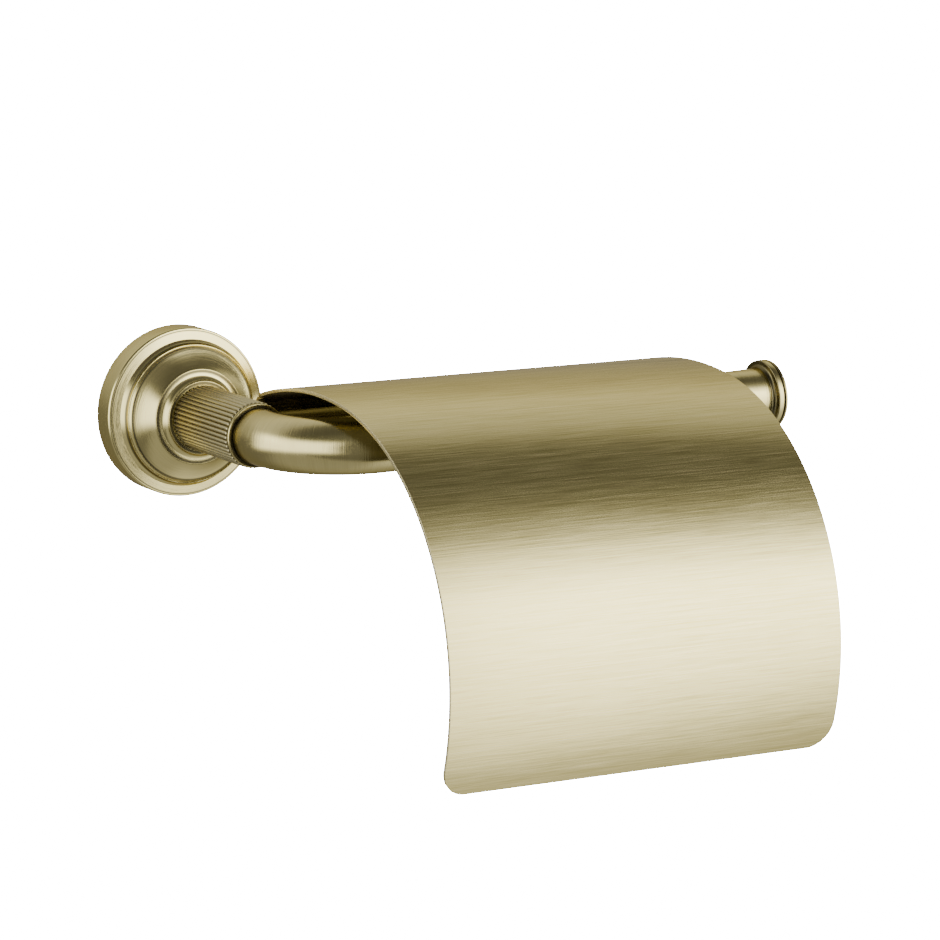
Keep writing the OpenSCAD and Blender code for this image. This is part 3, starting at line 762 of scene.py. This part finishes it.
for piece, material in ((rosette, turnedBrass), (collar, turnedBrass), (lip, turnedBrass), (spacer, shadedBrass),
                        (neck, reedBrass), (arm, tubeBrass), (endDisc, barBrass), (button, barBrass),
                        (hingeCollar, hingeBrass), (capNut, hingeBrass), (cover, coverBrass)):
    paint(piece, material)
# the cover's inside takes the darker colour, which is painted shade, and its cut edge the paler one, which is a
# painted highlight
cover.data.materials[1] = shadedInnerBrass
cover.data.materials[2] = edgeHighlightBrass

nodeFinish = {
    "wall_plate": steel, "bolt_washer": steel, "grub_screw": darkSteel, "tie_bolt": darkSteel, "dowel_pins": steel,
    "arm_insert": steel, "end_insert": steel, "hinge_rod": steel, "wave_washer": steel, "bush_inner": nylon,
    "bush_outer": nylon, "rosette": turnedBrass, "base_collar": turnedBrass, "lip_ring": turnedBrass,
    "gap_spacer": turnedBrass, "reeded_neck": reedBrass, "arm_tube": tubeBrass, "end_disc": barBrass,
    "end_button": barBrass, "hinge_collar": hingeBrass, "cap_nut": hingeBrass, "cover_sheet": coverBrass,
}
for nodeName, material in nodeFinish.items():
    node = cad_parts[nodeName]
    if not node.material_slots:
        node.data.materials.append(material)
    for slot in node.material_slots:
        slot.material = material
print("finishes laid on")


# the studio: floor, sky, lamps and camera, in metres
studio = {"floorZ": -0.45, "floorSize": 40, "white": 40.0, "pale": (0.92, 0.92, 0.92, 1), "deep": (0.9, 0.9, 0.9, 1),
          "rough": 0.9}


def makeFloor(v):
    deselectAll()
    bpy.ops.mesh.primitive_grid_add(x_subdivisions=8, y_subdivisions=8, size=v["floorSize"],
                                    location=(0, 0, v["floorZ"]))
    floor = bpy.context.object
    floor.name = floor.data.name = "studioFloor"
    settle(floor)
    f = Finish(bpy.data.materials.new("paleFloor"))
    x, y, z = f.place()
    tone = f.noise(x * 2, y * 2, z)
    shader = f.node("ShaderNodeBsdfPrincipled", {}, {
        "Base Color": f.blend(tone, v["deep"], v["pale"]), "Roughness": v["rough"],
        "Emission Color": (1, 1, 1, 1), "Emission Strength": v["white"]})
    paint(floor, f.finishWith(shader))
    floor.visible_glossy = False
    floor.visible_diffuse = False


# the sky's brightness, by the angle up from the wall's horizon, over the top (90) and down into the room (180):
# everywhere, and what a wide panel adds on the bar's free side. Each soft panel has the way it lies, how far it
# reaches to the side and up (as a sine), the width of its soft edge and its brightness.
sky = {
    "start": -120, "scale": 8,
    "all": [(-120, 0.5), (-70, 0.5), (-45, 0.25), (-10, 0.25), (20, 0.6), (45, 1.1), (62, 0.85), (80, 0.19),
            (98, 0.14), (112, 0.14), (126, 0.2), (150, 0.25), (190, 0.25), (228, 0.2), (240, 0.5)],
    "wide": [(-120, 0.6), (-70, 0.0), (-45, 0.0), (20, 0.0), (80, 0.0), (98, 0.0), (112, 0.1), (126, 0.55),
             (140, 3.1), (155, 6.2), (170, 5.8), (190, 4.5), (212, 2.7), (228, 1.15), (240, 0.6)],
    "wideFrom": -0.03, "wideTo": 0.35,
    "panels": [{"way": (-0.99, -0.12, 0.06), "reach": (0.66, 0.36), "edge": (0.2, 0.3), "level": 3.4}],
}


def makeSky(v, white):
    world = bpy.data.worlds.new("studioSky")
    bpy.context.scene.world = world
    f = Finish(world)
    x, y, z = f.split(f.node("ShaderNodeTexCoord", {}, {}, "Generated"))
    low, high = math.radians(v["start"]), math.radians(v["start"] + 360)
    turn = f.maths("WRAP", f.maths("ARCTAN2", z, y), high, low)
    share = f.node("ShaderNodeMapRange", {}, {"Value": turn, "From Min": low, "From Max": high})
    levels = []
    for stops in (v["all"], v["wide"]):
        places = [((angle - v["start"]) / 360, (level / v["scale"],) * 3 + (1,)) for angle, level in stops]
        levels.append(f.node("ShaderNodeValToRGB", {"stops": places}, {0: share}) * v["scale"])
    reach = f.node("ShaderNodeMapRange", {"interpolation_type": "SMOOTHSTEP"},
                   {"Value": x, "From Min": v["wideFrom"], "From Max": v["wideTo"]})
    total = levels[0] + levels[1] * reach
    for panel in v["panels"]:
        ahead = Vector(panel["way"]).normalized()
        side = Vector((0, 0, 1)).cross(ahead).normalized()
        glow = f.maths("GREATER_THAN", x * ahead.x + y * ahead.y + z * ahead.z, 0.0)
        for line, reach, edge in zip((side, ahead.cross(side)), panel["reach"], panel["edge"]):
            off = f.maths("ABSOLUTE", x * line.x + y * line.y + z * line.z)
            glow = glow * f.node("ShaderNodeMapRange", {"interpolation_type": "SMOOTHSTEP"},
                                 {"Value": off, "From Min": reach + edge / 2, "From Max": reach - edge / 2})
        total = total + glow * panel["level"]
    light = f.node("ShaderNodeBackground", {}, {"Color": (1, 1, 1, 1), "Strength": total})
    backdrop = f.node("ShaderNodeBackground", {}, {"Color": (1, 1, 1, 1), "Strength": white})
    seen = f.node("ShaderNodeLightPath", {}, {}, "Is Camera Ray")
    f.finishWith(f.node("ShaderNodeMixShader", {}, {0: seen, 1: light, 2: backdrop}), "ShaderNodeOutputWorld")


lamps = {
    "frontPanel": {"place": (0.9, -1.6, 0.9), "aim": (0.03, -0.08, 0), "size": 1.2, "power": 0.6},
    "sidePanel": {"place": (-1.6, -0.5, 0.35), "aim": (0, -0.03, 0), "size": 0.7, "power": 0.3},
}


def makeLamps(v):
    for name, values in v.items():
        deselectAll()
        aim = Vector(values["aim"]) - Vector(values["place"])
        bpy.ops.object.light_add(type="AREA", location=values["place"],
                                 rotation=aim.to_track_quat("-Z", "Y").to_euler())
        lamp = bpy.context.object
        lamp.name = lamp.data.name = name
        lamp.data.size, lamp.data.energy = values["size"], values["power"]


# turns in degrees, distances in mm: the camera looks past the origin by aside and above
cameraValues = {"azimuth": 30.2043, "elevation": 10.4101, "roll": 0.5522, "distance": 1475.54, "aside": -95.645,
                "above": 19.979, "lens": 174.888, "sensor": 36, "near": 50, "far": 60000}


def makeCamera(v):
    turn, lift = math.radians(v["azimuth"]), math.radians(v["elevation"])
    look = Vector((math.sin(turn) * math.cos(lift), math.cos(turn) * math.cos(lift), -math.sin(lift)))
    data = bpy.data.cameras.new("mainCamera")
    camera = bpy.data.objects.new("mainCamera", data)
    bpy.context.scene.collection.objects.link(camera)
    camera.rotation_euler = look.to_track_quat("-Z", "Y").to_euler()
    camera.rotation_euler.rotate_axis("Z", math.radians(v["roll"]))
    turned = camera.rotation_euler.to_matrix()
    right, up = turned.col[0], turned.col[1]
    camera.location = -(v["distance"] * look + v["aside"] * right + v["above"] * up) * mm
    data.sensor_width, data.lens = v["sensor"], v["lens"]
    data.clip_start, data.clip_end = v["near"] * mm, v["far"] * mm
    bpy.context.scene.camera = camera


makeFloor(studio)
makeSky(sky, studio["white"])
makeLamps(lamps)
makeCamera(cameraValues)
print("studio set")
